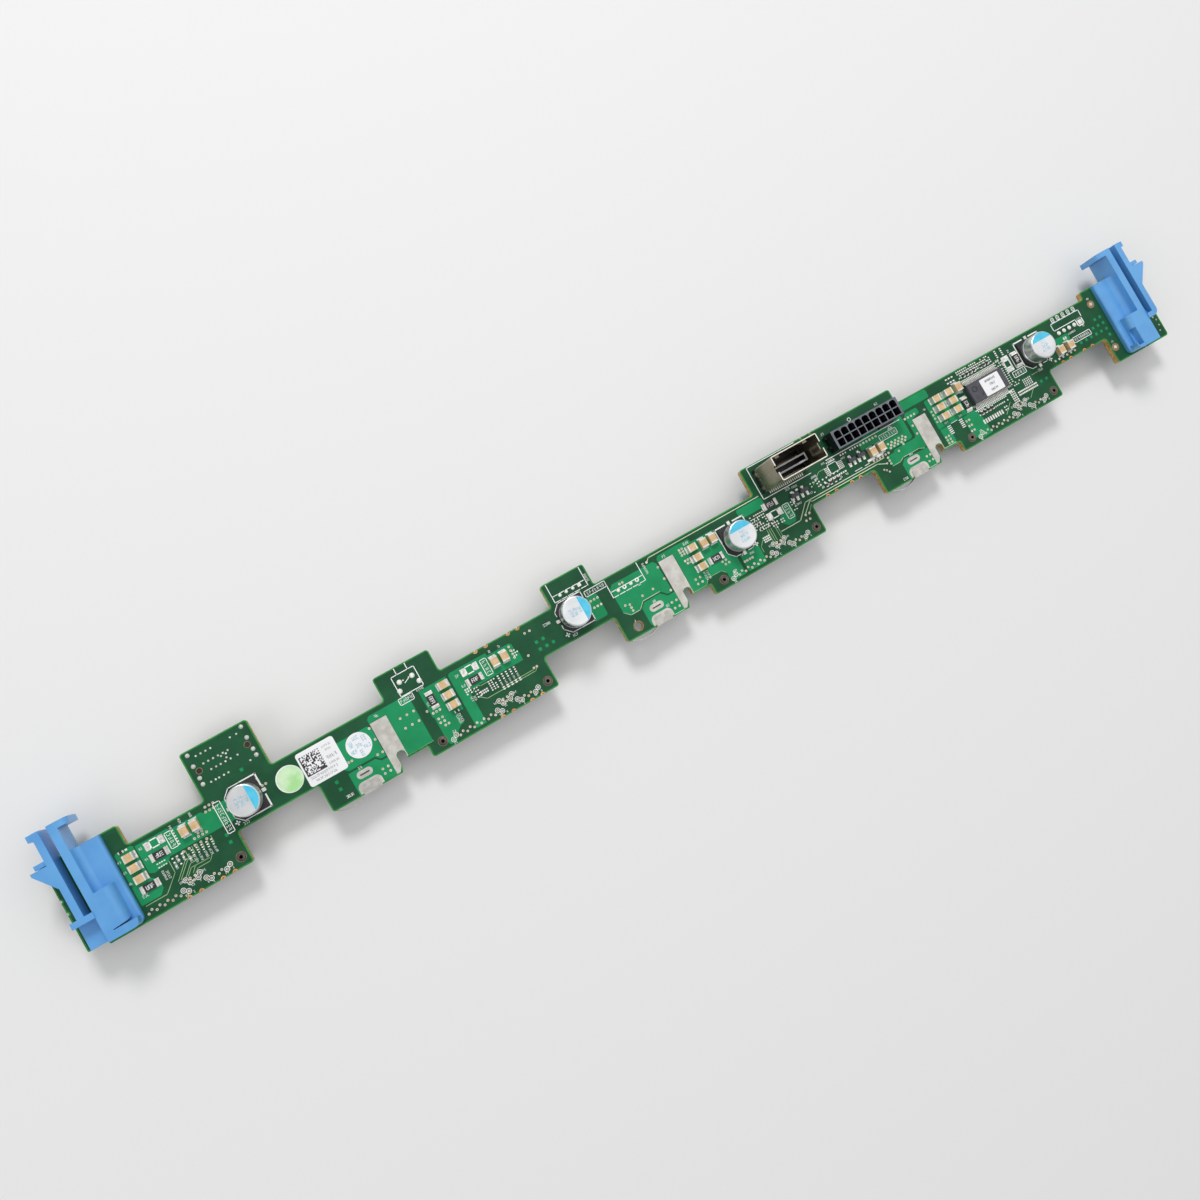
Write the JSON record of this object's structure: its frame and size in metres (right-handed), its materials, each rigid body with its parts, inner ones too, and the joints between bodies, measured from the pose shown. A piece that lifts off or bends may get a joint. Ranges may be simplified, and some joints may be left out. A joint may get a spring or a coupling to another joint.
{
  "type": "drive backplane board",
  "caption": "Long printed circuit board that joins a row of drive bays to data and power cables, with a sprung blue latch at each end.",
  "frame": {"origin": "bottom centre of the whole part: the middle of its length and depth, at the faces of the drive sockets", "axes": "+X along the board towards the power header, +Y up the board's face towards the tabs, +Z out of the rear face that carries the cable sockets"},
  "size_m": [0.4312, 0.0403, 0.0301],
  "materials": {
    "board_mask": "semi-gloss green solder mask on laminate",
    "latch_blue": "satin light blue moulded plastic",
    "black_plastic": "matt black connector plastic",
    "header_plastic": "satin black header plastic",
    "gold_contact": "gold-plated contact",
    "tin_metal": "bright tin plate",
    "steel_sheet": "dull nickel-plated sheet",
    "can_aluminium": "bright rolled aluminium",
    "ceramic_brown": "matt tan and brown ceramic",
    "resistor_black": "matt black coated chip",
    "chip_epoxy": "matt dark grey moulding",
    "paper_white": "matt white label",
    "paper_green": "matt green round sticker"
  },
  "bodies": {
    "root": {"circuit_board": "board_mask", "left_latch": "latch_blue", "right_latch": "latch_blue", "drive_connector_1": "black_plastic", "drive_contacts_1": "gold_contact", "drive_connector_2": "black_plastic", "drive_contacts_2": "gold_contact", "drive_connector_3": "black_plastic", "drive_contacts_3": "gold_contact", "drive_connector_4": "black_plastic", "drive_contacts_4": "gold_contact", "connector_rivets": "steel_sheet", "ground_clip_1": "steel_sheet", "ground_clip_2": "steel_sheet", "ground_clip_3": "steel_sheet", "data_connector_shell": "steel_sheet", "data_connector_base": "black_plastic", "data_connector_contacts": "gold_contact", "power_header_housing": "header_plastic", "power_header_pins": "tin_metal", "panel_connector_shell": "steel_sheet", "panel_connector_insert": "black_plastic", "panel_connector_contacts": "gold_contact", "solder_joints": "tin_metal", "capacitor_cans": "can_aluminium", "capacitor_bases": "black_plastic", "capacitor_terminals": "tin_metal", "ceramic_capacitor_bodies": "ceramic_brown", "ceramic_capacitor_ends": "tin_metal", "sense_resistor_bodies": "resistor_black", "sense_resistor_ends": "tin_metal", "small_chip_bodies": "resistor_black", "small_chip_ends": "tin_metal", "controller_chip": "chip_epoxy", "controller_leads": "tin_metal", "controller_label": "paper_white", "transistor_bodies": "chip_epoxy", "transistor_leads": "tin_metal", "data_label": "paper_white", "green_sticker": "paper_green", "white_sticker": "paper_white"}
  },
  "joints": []
}
